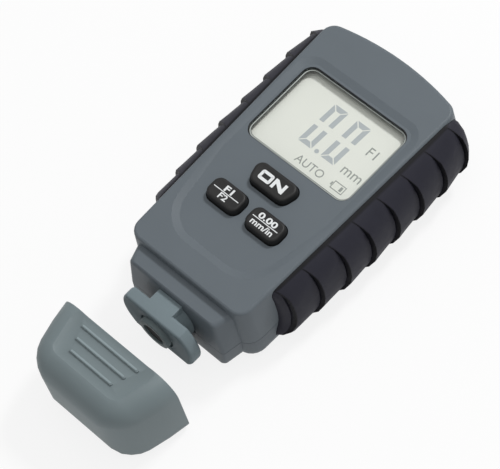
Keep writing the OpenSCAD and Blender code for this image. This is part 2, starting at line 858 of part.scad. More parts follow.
// Disc with two flats and rounded edges
module probe_disc() {
    rim_r = disc_d / 2 - disc_edge_r;
    intersection() {
        rotate_extrude($fn = round_fn) {
            square([rim_r, disc_t]);
            translate([0, disc_edge_r]) square([disc_d / 2, disc_t - 2 * disc_edge_r]);
            for (z = [disc_edge_r, disc_t - disc_edge_r])
                translate([rim_r, z]) circle(disc_edge_r, $fn = round_fn);
        }
        translate([-disc_d, 0, disc_t / 2]) rotate([0, 90, 0])
            rounded_plate(disc_t, disc_h, disc_edge_r, 2 * disc_d);
    }
}

// End of the neck, following the leaning front of the seat
function neck_end(z) = seat_s - rest_gap - seat_rake_at(z);

// Disc, neck and barrel in one moulding
module probe_housing() {
    color([0.55, 0.6, 0.62])
    on_probe_axis()
    difference() {
        union() {
            probe_disc();
            rotate([0, -90, 0]) linear_extrude(neck_w, center = true)
                polygon([[disc_t / 2, -disc_h / 2], [neck_end(probe_z + disc_h / 2), -disc_h / 2],
                         [neck_end(probe_z - disc_h / 2), disc_h / 2], [disc_t / 2, disc_h / 2]]);
            rod(barrel_d / 2, disc_t / 2, barrel_end_s);
            rod(collar_r, seat_s + seat_wall + rest_gap, seat_s + seat_wall + rest_gap + collar_t);
        }
        rod(guide_r, -over, barrel_end_s + over);
        rod(mouth_r, -over, mouth_depth);
        rod(rear_bore_r, step_s, barrel_end_s + over);
    }
}

module probe_sleeve() {
    color([0.6, 0.63, 0.65])
    on_probe_axis()
    difference() {
        union() {
            rod(sleeve_d / 2, -sleeve_proud, sleeve_rear_s);
            rod(shoulder_r, shoulder_s, sleeve_rear_s);
        }
        rod(sleeve_d / 2 - sleeve_wall, -sleeve_proud - over, sleeve_floor_s);
        rod(lead_hole_r, sleeve_floor_s - over, sleeve_rear_s + over);
    }
}

// Turned tip with a rounded face and the stem that carries the coil
module probe_core() {
    color([0.08, 0.08, 0.08])
    on_probe_axis()
    rotate_extrude($fn = round_fn)
        difference() {
            union() {
                translate([0, core_tip_r - core_proud]) square([core_r, core_len + core_proud - core_tip_r]);
                translate([0, -core_proud]) square([core_r - core_tip_r, core_tip_r]);
                translate([core_r - core_tip_r, core_tip_r - core_proud]) circle(core_tip_r, $fn = round_fn);
                translate([0, core_len - over]) square([core_stem_r, coil_len + over + 2 * coil_gap]);
            }
            translate([-2 * core_r, -2 * core_proud]) square([2 * core_r, 4 * core_len]);
        }
}

module probe_coil() {
    color([0.72, 0.4, 0.2])
    on_probe_axis()
    difference() {
        rod(core_r - 0.2, core_len + coil_gap, core_len + coil_gap + coil_len);
        rod(core_stem_r + rest_gap, core_len - over, core_len + coil_len + over);
    }
}

module probe_spring() {
    color([0.7, 0.7, 0.72])
    on_probe_axis()
    translate([0, 0, spring_s0])
        wound_wire(shoulder_r - 3 * spring_wire_r, spring_wire_r, spring_len, spring_turns);
}

// Plug that closes the barrel and carries the spring
module probe_end_cap() {
    color([0.3, 0.32, 0.34])
    on_probe_axis()
    difference() {
        union() {
            rod(rear_bore_r - rest_gap, spring_s0 + spring_len + rest_gap,
                barrel_end_s + rest_gap + end_cap_t / 2);
            rod(barrel_d / 2, barrel_end_s + rest_gap, barrel_end_s + rest_gap + end_cap_t);
        }
        rod(lead_hole_r, spring_s0, barrel_end_s + 2 * end_cap_t);
    }
}

// Round cell along +Y with its button at the +Y end
module cell() {
    button_r = 1.9;
    button_len = 1;
    edge = 0.6;
    rotate([-90, 0, 0])
    rotate_extrude($fn = round_fn) {
        translate([0, edge]) square([cell_r, cell_len - button_len - 2 * edge]);
        square([cell_r - edge, cell_len - button_len]);
        square([button_r, cell_len]);
    }
}

cell_y0 = bay_y0 + contact_t + rest_gap;
cell_y1 = bay_y1 - contact_t - rest_gap;

module battery_left() {
    color([0.25, 0.3, 0.35])
    translate([-cell_x, cell_y0 + cell_len + rest_gap, cell_z]) mirror([0, 1, 0]) cell();
}

module battery_right() {
    color([0.25, 0.3, 0.35])
    translate([cell_x, cell_y1 - cell_len - rest_gap, cell_z]) cell();
}

module battery_contacts() {
    pair_w = 2 * cell_x + contact_h;
    color([0.75, 0.75, 0.72]) {
        translate([-pair_w / 2, bay_y0, cell_z - contact_h / 2]) cube([pair_w, contact_t, contact_h]);
        for (sx = [-1, 1])
            translate([sx * cell_x - contact_h / 2, bay_y1 - contact_t, cell_z - contact_h / 2])
                cube([contact_h, contact_t, contact_h]);
    }
}

module battery_springs() {
    wire_r = 0.35;
    turns = 4;
    color([0.75, 0.75, 0.72]) {
        translate([-cell_x, cell_y1, cell_z]) rotate([90, 0, 0])
            wound_wire(cell_spring_r, wire_r, cell_spring_len, turns);
        translate([cell_x, cell_y0, cell_z]) rotate([-90, 0, 0])
            wound_wire(cell_spring_r, wire_r, cell_spring_len, turns);
    }
}

// Screw standing head down, with a cross slot in its head
module screw(r, length, head_r, head_t) {
    slot = head_r / 3;
    difference() {
        union() {
            rod(head_r, -head_t, 0);
            rod(r, -head_t / 2, length);
        }
        for (a = [0, 90])
            rotate([0, 0, a])
                translate([-head_r * 0.7, -slot / 2, -head_t - over])
                    cube([head_r * 1.4, slot, over + head_t / 2]);
    }
}

module case_screws() {
    color([0.3, 0.3, 0.32])
    at_case_screws()
        translate([0, 0, screw_head_z + screw_head_t - rest_gap])
            screw(screw_r - 2 * screw_fit, screw_len, screw_head_r, screw_head_t);
}

module board_screws() {
    color([0.7, 0.7, 0.72])
    at_board_screws()
        translate([0, 0, board_top - board_t - rest_gap / 2])
            screw(board_screw_r - rest_gap, board_screw_len, board_screw_head_r, board_screw_head_t);
}

// Section of the cap across its length: flat sides with rounded top edges and feet
module cap_slice(y, half, inset, top_r, foot_r) {
    translate([0, y, 0]) rotate([90, 0, 0]) linear_extrude(skin)
        hull() {
            for (sx = [-1, 1]) {
                translate([sx * (half - inset - top_r), body_t - inset - top_r])
                    circle(top_r, $fn = hull_fn);
                translate([sx * (half - inset - foot_r), inset + foot_r])
                    circle(foot_r, $fn = hull_fn);
            }
        }
}

// Half-width of the cap at a depth from its mouth
function cap_half(d) = (cap_w - (cap_w - cap_end_w) * pow(max(0, d) / cap_len, cap_bow)) / 2;

// Bowed cap form, shrunk by an inset, with a rounded closed end
module cap_form(inset, mouth, top_r, foot_r) {
    length = cap_len - inset;
    straight = length - cap_end_r;
    least_r = 0.5;
    hull() {
        for (d = [mouth, 0, straight / 2])
            cap_slice(cap_y - d + skin, cap_half(d), inset, top_r, foot_r);
        for (i = [0 : arc_steps])
            let (a = 90 * i / arc_steps, d = straight + cap_end_r * sin(a), in = cap_end_r * (1 - cos(a)))
                cap_slice(cap_y - d + skin, cap_half(d), inset + in,
                          max(least_r, top_r - in), max(least_r, foot_r - in));
    }
}

// Sunk field on top of the cap for the ridges
module cap_field(z, grow) {
    half = cap_end_w / 2 - field_side;
    translate([0, cap_y, z]) linear_extrude(skin)
        hull()
            for (sx = [-1, 1]) {
                translate([sx * (half - field_r), field_r - field_len]) circle(field_r + grow, $fn = hull_fn);
                translate([sx * (half + field_flare - field_r), -field_r])
                    circle(field_r + grow, $fn = hull_fn);
            }
}

module cap_ridge(length) {
    translate([-length / 2, -ridge_w / 2, -ridge_h]) cube([length, ridge_w, 2 * ridge_h]);
    for (sx = [-1, 1]) translate([sx * length / 2, 0, 0]) rod(ridge_w / 2, -ridge_h, ridge_h);
}

module cap() {
    color([0.52, 0.57, 0.6])
    difference() {
        union() {
            difference() {
                cap_form(0, 0, cap_edge_r, cap_foot_r);
                hull() {
                    cap_field(body_t - cap_dish, 0);
                    cap_field(body_t, 2 * cap_dish);
                }
            }
            for (i = [0 : ridges - 1])
                translate([0, cap_y - ridge_first - ridge_gap * i, body_t - cap_dish])
                    cap_ridge(ridge_len - ridge_less * i);
        }
        cap_form(cap_wall, -over, cap_inner_r, cap_inner_foot_r);
    }
}

front_cover();
rear_cover();
left_grip();
right_grip();
display_window();
lcd_glass();
lcd_holder();
contact_strips();
main_board();
control_chip();
lead_plug();
key_switches();
key_power();
key_mode();
key_zero();
probe_housing();
probe_sleeve();
probe_core();
probe_coil();
probe_spring();
probe_end_cap();
battery_cover();
battery_left();
battery_right();
battery_contacts();
battery_springs();
case_screws();
board_screws();
cap();
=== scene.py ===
"""Looks of a hand-held coating thickness gauge, lying on its back with its probe cap off."""
import json
from math import cos, pi, radians, sin

import bmesh
import bpy
from bpy.props import FloatProperty, FloatVectorProperty, PointerProperty
from mathutils import Matrix, Vector


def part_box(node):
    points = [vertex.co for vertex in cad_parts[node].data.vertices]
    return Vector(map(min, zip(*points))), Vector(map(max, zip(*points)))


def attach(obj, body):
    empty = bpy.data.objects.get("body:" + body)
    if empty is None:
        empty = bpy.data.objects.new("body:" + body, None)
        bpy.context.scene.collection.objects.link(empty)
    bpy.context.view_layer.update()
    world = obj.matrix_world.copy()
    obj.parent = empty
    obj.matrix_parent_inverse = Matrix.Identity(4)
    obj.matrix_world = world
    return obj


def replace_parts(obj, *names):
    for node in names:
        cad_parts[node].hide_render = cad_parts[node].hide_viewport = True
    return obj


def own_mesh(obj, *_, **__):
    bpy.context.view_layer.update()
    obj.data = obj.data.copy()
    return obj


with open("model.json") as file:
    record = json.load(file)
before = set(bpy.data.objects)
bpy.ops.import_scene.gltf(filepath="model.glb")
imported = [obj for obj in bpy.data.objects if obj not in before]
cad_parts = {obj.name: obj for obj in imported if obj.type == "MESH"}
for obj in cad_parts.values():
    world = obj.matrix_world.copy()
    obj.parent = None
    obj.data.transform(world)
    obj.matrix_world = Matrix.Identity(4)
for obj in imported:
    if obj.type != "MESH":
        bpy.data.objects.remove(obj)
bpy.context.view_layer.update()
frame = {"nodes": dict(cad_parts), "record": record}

bl_info = {
    "name": "Coating Thickness Gauge",
    "version": (1, 0, 0),
    "blender": (4, 5, 0),
    "location": "3D View > Sidebar > Gauge",
    "description": "Dresses the gauge's solids with moulded edges, markings, finishes and a studio",
    "category": "Object",
}

MM = 0.001

# In a copy of a solid, points nearer than this become one, edges shorter than this go, and faces that
# turn by fewer degrees than this are joined
MERGE_GAP = 0.015 * MM
SLIVER = 0.005 * MM
FLAT_TURN = 0.6
# Turns in degrees from which an edge is shaded crisp, and from which it is rounded
CRISP_TURN = 35
ROUNDED_TURN = 30
# A face counts as level above this upright share, and its edges are crisp from this turn on
LEVEL = 0.9995
SOFT_TURN = 4
# Steps in a rounded edge, in a rounded corner and in a letter's curves
EDGE_STEPS = 2
CORNER_STEPS = 8
LETTER_STEPS = 4
# Points of a letter that become one, in letter sizes
LETTER_MERGE = 1e-5

# The photograph's width in pixels, and the camera's sensor in millimetres
IMAGE_WIDTH = 500
SENSOR_WIDTH = 36.0

# The grips' top edge, height and grooves, whose lines of painted shade bend back near the top and
# near the back, and the width and darkness of the painted shade in the grooves and along the top seam
GRIP_TOP = 27.0 * MM
GRIP_HEIGHT = 21.4 * MM
GRIP_HOOK = 1.7 * MM
GRIP_HOOK_END = 0.25
GRIP_SWING = 6 * MM
FIRST_GROOVE = 63.9 * MM
GROOVE_PITCH = 10.343 * MM
GROOVE_SHADE_WIDTH = 0.45 * MM
SEAM_SHADE_WIDTH = 0.65 * MM
GROOVE_SHADE_DARKER = 0.85

# Share of light that the lens mirrors straight on, and what is added at a grazing angle
LENS_MIRROR = 0.04
LENS_EDGE_MIRROR = 0.7

# The record says which body carries a node and which finish it has
BODY_OF = {
    node: body
    for body, nodes in frame["record"]["behaviour"]["bodies"].items()
    for node in nodes
}
SLOT_OF = {part["node"]: part["material_slot"] for part in frame["record"]["subparts"]}


def paint(red, green, blue):
    """Linear colour of an 8-bit display colour."""
    shares = [c / 255 for c in (red, green, blue)]
    return tuple(c / 12.92 if c <= 0.04045 else ((c + 0.055) / 1.055) ** 2.4 for c in shares)


def colour_prop(name, description, value):
    """Colour that a user may change."""
    return FloatVectorProperty(
        name=name, description=description, subtype="COLOR", size=3, min=0, max=1, default=value
    )


def length_prop(name, description, millimetres):
    """Length that a user may change, in metres."""
    return FloatProperty(
        name=name, description=description, unit="LENGTH", min=0, default=millimetres * MM
    )


class GaugeColours(bpy.types.PropertyGroup):
    """Colours of the gauge's plastics, rubber and markings."""

    case: colour_prop("Case", "Blue-grey plastic of the two covers", paint(98, 106, 112))
    cap: colour_prop("Cap", "Paler plastic of the probe cap", paint(118, 130, 133))
    probe: colour_prop("Probe", "Pale plastic of the probe disc", paint(121, 134, 139))
    rubber: colour_prop("Grips", "Dark rubber of the side grips", paint(40, 40, 49))
    keys: colour_prop("Keys", "Black of the keys", paint(26, 26, 26))
    legend: colour_prop("Legends", "White ink on the keys", paint(236, 239, 240))
    display: colour_prop("Display", "Pale ground of the display", paint(252, 253, 246))
    segment: colour_prop("Segments", "Grey of the display's figures", paint(196, 202, 206))
    mark: colour_prop("Marks", "Darker grey of the display's small marks", paint(164, 168, 164))


class GaugeSizes(bpy.types.PropertyGroup):
    """Sizes of the markings and of the moulded edges."""

    edge: length_prop("Moulded edge", "Rounding of the moulded pieces' edges", 0.25)
    # The paler crests on the cap's ridges are painted highlights
    crest: length_prop("Ridge crest", "Width of the paler crest on the cap's ridges", 0.6)
    key_sink: length_prop("Key top", "Depth of the shallow field on a key's top", 0.06)
    ink: length_prop("Ink", "Thickness of the printed legends", 0.03)
    power_letter: length_prop("Power letters", "Height of the letters on the power key", 3.4)
    pair_letter: length_prop("Pair letters", "Height of the letters on the lower keys", 2.1)
    figure_height: length_prop("Figure height", "Height of the display's large figures", 16.2)
    figure_width: length_prop("Figure width", "Width of the display's large figures", 5.5)
    stroke: length_prop("Stroke", "Width of the figures' segments", 1.7)
    lens_flange: length_prop("Lens flange", "Width of the lens's flange under the cover", 1.0)
    # The black line round the lens is a printed border, with painted shade in a black ring under it
    lens_border: length_prop("Lens border", "Width of the black line printed round the lens", 0.22)
    # The band under the lens's top is a painted highlight of the lens's bevelled edge
    lens_depth: length_prop("Lens depth", "Depth of the highlighted band under the lens's top", 0.7)
    lens_inset: length_prop("Lens inset", "From the window's edge to the highlighted band", 0.4)
    lens_bevel_highlight: length_prop("Lens frost", "Width of the highlighted band", 0.4)
    lens_line: length_prop("Lens line", "Width of the thin line inside the highlighted band", 0.14)
    lens_corner: length_prop("Lens corner", "Radius of the corners of the window's opening", 3.8)
    mark_letter: length_prop("Mark letters", "Height of the display's small letters", 2.9)


class GaugeStage(bpy.types.PropertyGroup):
    """Camera and studio."""

    azimuth: FloatProperty(
        name="Azimuth", description="Turn of the view", subtype="ANGLE", default=radians(59.05)
    )
    elevation: FloatProperty(
        name="Elevation", description="Height of the view", subtype="ANGLE", default=radians(60.2)
    )
    roll: FloatProperty(
        name="Roll", description="Lean of the camera", subtype="ANGLE", default=radians(-17.54)
    )
    distance: length_prop("Distance", "From the camera to the middle of the picture", 700)
    focal_pixels: FloatProperty(
        name="Focal length", description="In pixels of the picture", min=1, default=2334
    )
    world_light: FloatProperty(name="World light", description="Even light", min=0, default=0.44)
    top_light: FloatProperty(
        name="Top light", description="Power of the overhead box", min=0, default=2.8
    )
    key_light: FloatProperty(name="Key light", description="Power of the far box", min=0, default=8.6)
    floor: colour_prop("Floor", "Pale studio floor", (0.94, 0.94, 0.94))
    floor_glow: FloatProperty(
        name="Floor glow", description="Share of plain white that the camera sees on the floor",
        subtype="FACTOR", min=0, max=1, default=0.84,
    )


class Wire:
    """A shader socket that adds Math nodes when it is used in an expression."""

    def __init__(self, graph, socket):
        self.graph = graph
        self.socket = socket

    def math(self, operation, first, second):
        """Adds a Math node."""
        return self.graph.node("ShaderNodeMath", {"operation": operation}, {0: first, 1: second})

    def __add__(self, other):
        return self.math("ADD", self, other)

    def __sub__(self, other):
        return self.math("SUBTRACT", self, other)

    def __rsub__(self, other):
        return self.math("SUBTRACT", other, self)

    def __mul__(self, other):
        return self.math("MULTIPLY", self, other)

    def most(self, other):
        """The greater of two values."""
        return self.math("MAXIMUM", self, other)

    __radd__ = __add__
    __rmul__ = __mul__


class Graph:
    """A node tree in the making."""

    def __init__(self, tree):
        self.tree = tree
        tree.nodes.clear()

    def node(self, kind, settings=None, inputs=None, output=0):
        """Adds a node of a kind, sets it up, feeds its sockets and gives one of its outputs."""
        made = self.tree.nodes.new(kind)
        for name, value in (settings or {}).items():
            setattr(made, name, value)
        for name, value in (inputs or {}).items():
            if isinstance(value, Wire):
                self.tree.links.new(value.socket, made.inputs[name])
            else:
                made.inputs[name].default_value = value
        return Wire(self, made.outputs[output]) if made.outputs else made

    def seen(self):
        """1 for rays that come from the camera, also by way of gloss or glass, and 0 for the rest."""
        share = 0.0
        for kind in ("Is Camera Ray", "Is Glossy Ray", "Is Transmission Ray"):
            share = self.node("ShaderNodeLightPath", output=kind).most(share)
        return share


class Finish(Graph):
    """A material in the making."""

    def __init__(self, name):
        self.material = bpy.data.materials.new(name)
        self.material.use_nodes = True
        super().__init__(self.material.node_tree)
        self.place = self.node("ShaderNodeTexCoord", output="Object")

    def noise(self, size, detail=2.0):
        """Noise from 0 to 1 with lumps of a size in metres."""
        inputs = {"Vector": self.place, "Scale": 1 / size, "Detail": detail}
        return self.node("ShaderNodeTexNoise", None, inputs)

    def mix(self, share, first, second):
        """Colour between two colours."""
        ends = [tone if isinstance(tone, Wire) else (*tone, 1) for tone in (first, second)]
        inputs = {0: share, 6: ends[0], 7: ends[1]}
        return self.node("ShaderNodeMix", {"data_type": "RGBA"}, inputs, output=2)

    def cloudy(self, colour, size, darker, lighter=0.0, detail=2.0):
        """A colour that is darker and lighter by shares in patches of a size."""
        return self.mix(self.noise(size, detail), toned(colour, -darker), toned(colour, lighter))

    def uneven(self, low, high, size, detail=2.0):
        """A value that varies between two values in patches of a size."""
        return low + (high - low) * self.noise(size, detail)

    def bump(self, height, depth):
        """Normal from a height map."""
        return self.node("ShaderNodeBump", None, {"Height": height, "Distance": depth})

    def surface(self, **sockets):
        """Ends the material in one Principled shader."""
        inputs = {name.replace("_", " "): value for name, value in sockets.items()}
        return self.close(self.node("ShaderNodeBsdfPrincipled", None, inputs))

    def close(self, shader):
        """Leads a shader to the material's output."""
        self.node("ShaderNodeOutputMaterial", None, {"Surface": shader})
        return self.material


def toned(colour, share):
    """A colour made lighter or darker by a share."""
    return tuple(min(1.0, c * (1 + share)) for c in colour)


def moulded(name, colour, roughness=0.5, grain=0.22, depth=0.004, sheen=0.3):
    """Moulded plastic: fine spark-eroded grain, faint cloudiness and an uneven sheen."""
    finish = Finish(name)
    return finish.surface(
        Base_Color=finish.cloudy(colour, size=14 * MM, darker=0.05, lighter=0.05, detail=3),
        Roughness=finish.uneven(roughness - 0.05, roughness + 0.05, size=0.9 * MM),
        Normal=finish.bump(finish.noise(grain * MM, detail=1), depth * MM),
        Specular_IOR_Level=sheen,
    )


def groove_shade(finish):
    """Painted shade: 1 along the grooves between the grips' scales and along their top seam, 0
    elsewhere.
    """
    y, z = (
        finish.node("ShaderNodeSeparateXYZ", None, {0: finish.place}, output=axis) for axis in "YZ"
    )
    down = (GRIP_TOP - z) * (1 / GRIP_HEIGHT)
    near_top = (1 - down * (1 / GRIP_HOOK_END)).most(0.0)
    squared = down * down
    lag = GRIP_HOOK * near_top * near_top + GRIP_SWING * squared * squared * squared
    turn = (FIRST_GROOVE - y - lag) * (1 / GROOVE_PITCH)
    phase = finish.node("ShaderNodeMath", {"operation": "FRACT"}, {0: turn + 0.5})
    apart = (phase - 0.5).most(0.5 - phase) * GROOVE_PITCH
    groove = (1 - apart * (1 / GROOVE_SHADE_WIDTH)).most(0.0)
    seam = (2 - down * (2 * GRIP_HEIGHT / SEAM_SHADE_WIDTH)).most(0.0)
    return groove.most(seam)


def soft_rubber(name, colour, painted_groove_shade=False):
    """Moulded rubber: dull, with a faint bloom in cloudy patches, and painted shade in the grooves if
    asked.
    """
    finish = Finish(name)
    tone = finish.cloudy(colour, size=6 * MM, darker=0.12, lighter=0.16, detail=4)
    if painted_groove_shade:
        # Painted shade darkens the rubber along the grips' grooves and along their top seam
        tone = finish.mix(groove_shade(finish), tone, toned(colour, -GROOVE_SHADE_DARKER))
    return finish.surface(
        Base_Color=tone,
        Roughness=finish.uneven(0.5, 0.66, size=2.5 * MM, detail=3),
        Normal=finish.bump(finish.noise(0.3 * MM), depth=0.006 * MM),
        Specular_IOR_Level=0.18,
    )


def printed(name, colour):
    """Ink with a slightly uneven cover, also used for the painted highlight of the lens's bevelled
    edge.
    """
    finish = Finish(name)
    return finish.surface(
        Base_Color=finish.cloudy(colour, size=0.4 * MM, darker=0.06),
        Roughness=finish.uneven(0.45, 0.55, size=0.2 * MM),
    )


def metal(name, colour, roughness):
    """Bare metal, a little uneven from drawing or rolling."""
    finish = Finish(name)
    lines = finish.noise(0.5 * MM, detail=4)
    return finish.surface(
        Base_Color=finish.mix(lines, toned(colour, -0.1), toned(colour, 0.06)),
        Metallic=1.0,
        Roughness=roughness - 0.06 + 0.12 * lines,
        Normal=finish.bump(lines, depth=0.004 * MM),
    )


def clear_plastic(name):
    """Polished clear plastic: see-through, with reflections that grow towards its edges."""
    finish = Finish(name)
    gloss = finish.node(
        "ShaderNodeBsdfPrincipled",
        None,
        {"Base Color": (0.02, 0.02, 0.02, 1), "Roughness": finish.uneven(0.04, 0.07, size=5 * MM)},
    )
    through = finish.node("ShaderNodeBsdfTransparent", None, {"Color": (0.99, 0.995, 0.99, 1)})
    facing = finish.node("ShaderNodeLayerWeight", None, {"Blend": 0.5}, output="Facing")
    grazing = facing * facing * facing * facing
    mirror = LENS_MIRROR + LENS_EDGE_MIRROR * grazing
    return finish.close(finish.node("ShaderNodeMixShader", None, {0: mirror, 1: through, 2: gloss}))


def display_ground(name, colour):
    """Pale reflective ground of the display cell with a very fine sparkle."""
    finish = Finish(name)
    return finish.surface(
        Base_Color=finish.cloudy(colour, size=11 * MM, darker=0.03),
        Roughness=finish.uneven(0.3, 0.5, size=0.12 * MM),
    )


def winding(name, colour):
    """Fine wire wound side by side."""
    finish = Finish(name)
    turns = finish.node(
        "ShaderNodeTexWave",
        {"wave_type": "BANDS", "bands_direction": "Y"},
        {"Vector": finish.place, "Scale": 800.0},
        output=1,
    )
    return finish.surface(
        Base_Color=finish.mix(turns, toned(colour, -0.6), colour),
        Metallic=0.8,
        Roughness=0.35 + 0.1 * turns,
        Normal=finish.bump(turns, depth=0.05 * MM),
    )


def make_finishes(colours):
    """Every material slot of the record, and each marking's finish, with its material."""
    case, cap = tuple(colours.case), tuple(colours.cap)
    return {
        "case_grey": moulded("case_grey", case),
        "case_back": moulded("case_back", toned(case, -0.06)),
        "cap_grey": moulded("cap_grey", cap),
        # Paler copy of the cap's plastic for the painted highlights on the ridges' crests
        "cap_crest_highlight": moulded("cap_crest_highlight", toned(cap, 0.5)),
        "probe_plastic": moulded("probe_plastic", tuple(colours.probe), roughness=0.6, sheen=0.16),
        "grip_rubber": soft_rubber("grip_rubber", tuple(colours.rubber), painted_groove_shade=True),
        "key_black": moulded("key_black", tuple(colours.keys), grain=0.3, depth=0.006),
        "clear_lens": clear_plastic("clear_lens"),
        "lcd": display_ground("lcd", tuple(colours.display)),
        "black_plastic": moulded("black_plastic", paint(24, 24, 25), roughness=0.4),
        "contact_rubber": soft_rubber("contact_rubber", paint(196, 128, 138)),
        "board": moulded("board", paint(28, 96, 56), roughness=0.3, grain=0.6),
        "chip": moulded("chip", paint(30, 30, 32), roughness=0.55),
        "plug": moulded("plug", paint(222, 214, 192)),
        "sleeve": moulded("sleeve", paint(112, 124, 126), sheen=0.2),
        "core": moulded("core", paint(20, 21, 21), roughness=0.6, grain=0.15, sheen=0.05),
        "copper": winding("copper", paint(184, 104, 60)),
        "spring_steel": metal("spring_steel", paint(190, 191, 194), roughness=0.28),
        "cell_jacket": moulded("cell_jacket", paint(62, 80, 96), roughness=0.3, grain=1.5),
        "contact_metal": metal("contact_metal", paint(205, 204, 196), roughness=0.22),
        "screw_steel": metal("screw_steel", paint(92, 92, 96), roughness=0.38),
        "board_screw_steel": metal("board_screw_steel", paint(190, 190, 194), roughness=0.3),
        "legend_white": printed("legend_white", tuple(colours.legend)),
        # Light grey of the painted highlight of the lens's bevelled edge
        "lens_bevel_highlight": printed("lens_bevel_highlight", paint(190, 196, 192)),
        "segment_grey": printed("segment_grey", tuple(colours.segment)),
        "mark_grey": printed("mark_grey", tuple(colours.mark)),
    }


FINISHES = {}


def finish_of(slot):
    """Material of a slot, made with all the others the first time."""
    if not FINISHES:
        FINISHES.update(make_finishes(bpy.context.scene.gauge_colours))
    return FINISHES[slot]


def crisp_edges(bm, sharp, level):
    """Marks the edges that turn by more than an angle, and those round level faces if asked."""
    for edge in bm.edges:
        turn = edge.calc_face_angle(pi)
        beside_level = any(abs(f.normal.z) > LEVEL for f in edge.link_faces)
        edge.smooth = turn < radians(SOFT_TURN if level and beside_level else sharp)


def add_piece(name, bm, body, slot, material=None, sharp=CRISP_TURN, level=False):
    """Turns a bmesh into a piece that rides on a body, with smooth faces up to an angle."""
    for face in bm.faces:
        face.smooth = True
    bm.normal_update()
    crisp_edges(bm, sharp, level)
    mesh = bpy.data.meshes.new(name)
    bm.to_mesh(mesh)
    bm.free()
    mesh.materials.append(finish_of(material or slot))
    piece = bpy.data.objects.new(name, mesh)
    bpy.context.scene.collection.objects.link(piece)
    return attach(piece, body)


def solid_copy(node):
    """Merged copy of a CAD node's mesh, with flat stretches as single faces."""
    bm = bmesh.new()
    bm.from_mesh(frame["nodes"][node].data)
    bmesh.ops.remove_doubles(bm, verts=bm.verts, dist=MERGE_GAP)
    bmesh.ops.dissolve_degenerate(bm, dist=SLIVER, edges=bm.edges)
    bmesh.ops.dissolve_limit(
        bm, angle_limit=radians(FLAT_TURN), use_dissolve_boundaries=False,
        verts=bm.verts, edges=bm.edges,
    )
    return bm


def round_edges(bm, width):
    """Rounds the edges that turn by more than an angle."""
    crisp = [e for e in bm.edges if e.is_manifold and e.calc_face_angle() > radians(ROUNDED_TURN)]
    bmesh.ops.bevel(
        bm, geom=crisp, offset=width, offset_type="OFFSET", segments=EDGE_STEPS, profile=0.5,
        affect="EDGES", clamp_overlap=True, material=-1,
    )


def replace_solid(node, bm, **shading):
    """Puts a dressed copy in the place of a CAD node."""
    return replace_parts(add_piece(node + "_skin", bm, BODY_OF[node], SLOT_OF[node], **shading), node)


def dress(node, width=0.0, level=False):
    """Replaces a CAD node with a smooth copy, whose edges are rounded where a width is given."""
    bm = solid_copy(node)
    if width:
        round_edges(bm, width)
    return replace_solid(node, bm, level=level)


def raise_faces(bm, faces, height):
    """Makes flat faces into a plate by drawing them upwards."""
    raised = bmesh.ops.extrude_face_region(bm, geom=faces)["geom"]
    tops = [g for g in raised if isinstance(g, bmesh.types.BMVert)]
    bmesh.ops.translate(bm, verts=tops, vec=(0, 0, height))


def plate(bm, points, low, high):
    """Adds a flat plate with an outline in metres, from one height to another."""
    face = bm.faces.new([bm.verts.new((x, y, low)) for x, y in points])
    face.normal_update()
    raise_faces(bm, [face], high - low)


def bar(bm, centre, size, low, high):
    """Adds a rectangular plate about a centre."""
    x, y = centre
    w, h = size[0] / 2, size[1] / 2
    plate(bm, [(x - w, y - h), (x + w, y - h), (x + w, y + h), (x - w, y + h)], low, high)


def rounded_bar(bm, centre, half, low, high):
    """Adds a flat bar with round ends about a centre."""
    x, y = centre
    r = half[1]
    turns = [pi * (k / CORNER_STEPS - 0.5) for k in range(CORNER_STEPS + 1)]
    right = [(x + half[0] - r + r * cos(a), y + r * sin(a)) for a in turns]
    left = [(2 * x - px, 2 * y - py) for px, py in right]
    plate(bm, right + left, low, high)


def rounded_ring(bm, centre, half, width, corner, low, high):
    """Adds a flat frame with rounded corners inside an outline of a half width and half length."""
    made = bmesh.ops.create_grid(bm, x_segments=1, y_segments=1, size=1)
    place = Matrix.Translation((*centre, low)) @ Matrix.Diagonal((*half, 1, 1))
    bmesh.ops.transform(bm, matrix=place, verts=made["verts"])
    others = set(bm.faces) - set(made["verts"][0].link_faces)
    bmesh.ops.bevel(
        bm, geom=made["verts"], offset=corner, offset_type="OFFSET", segments=CORNER_STEPS,
        profile=0.5, affect="VERTICES", material=-1,
    )
    sheet = max((f for f in bm.faces if f not in others), key=lambda f: f.calc_area())
    rim = bmesh.ops.inset_region(bm, faces=[sheet], thickness=width, use_boundary=True)["faces"]
    bmesh.ops.delete(bm, geom=[sheet], context="FACES_ONLY")
    raise_faces(bm, rim, high - low)
    bmesh.ops.recalc_face_normals(bm, faces=bm.faces)


def letters(bm, words, centre, height, low, high, wide=1.0, bold=0.0):
    """Adds words as flat raised letters about a centre."""
    curve = bpy.data.curves.new("letters", "FONT")
    curve.body = words
    curve.offset = bold
    curve.resolution_u = LETTER_STEPS
    text = bpy.data.objects.new("letters", curve)
    bpy.context.scene.collection.objects.link(text)
    bpy.context.view_layer.update()
    mesh = bpy.data.meshes.new_from_object(text)
    bpy.data.objects.remove(text)
    bpy.data.curves.remove(curve)
    drawn = bmesh.new()
    drawn.from_mesh(mesh)
    bmesh.ops.remove_doubles(drawn, verts=drawn.verts, dist=LETTER_MERGE)
    lows = Vector([min(v.co[i] for v in drawn.verts) for i in range(3)])
    highs = Vector([max(v.co[i] for v in drawn.verts) for i in range(3)])
    scale = height / (highs.y - lows.y)
    middle = (lows + highs) / 2
    shift = Matrix.Translation((centre[0], centre[1], low))
    size = Matrix.Diagonal((scale * wide, scale, 1, 1))
    drawn.transform(shift @ size @ Matrix.Translation((-middle.x, -middle.y, 0)))
    raise_faces(drawn, drawn.faces[:], high - low)
    drawn.to_mesh(mesh)
    drawn.free()
    bm.from_mesh(mesh)
    bpy.data.meshes.remove(mesh)


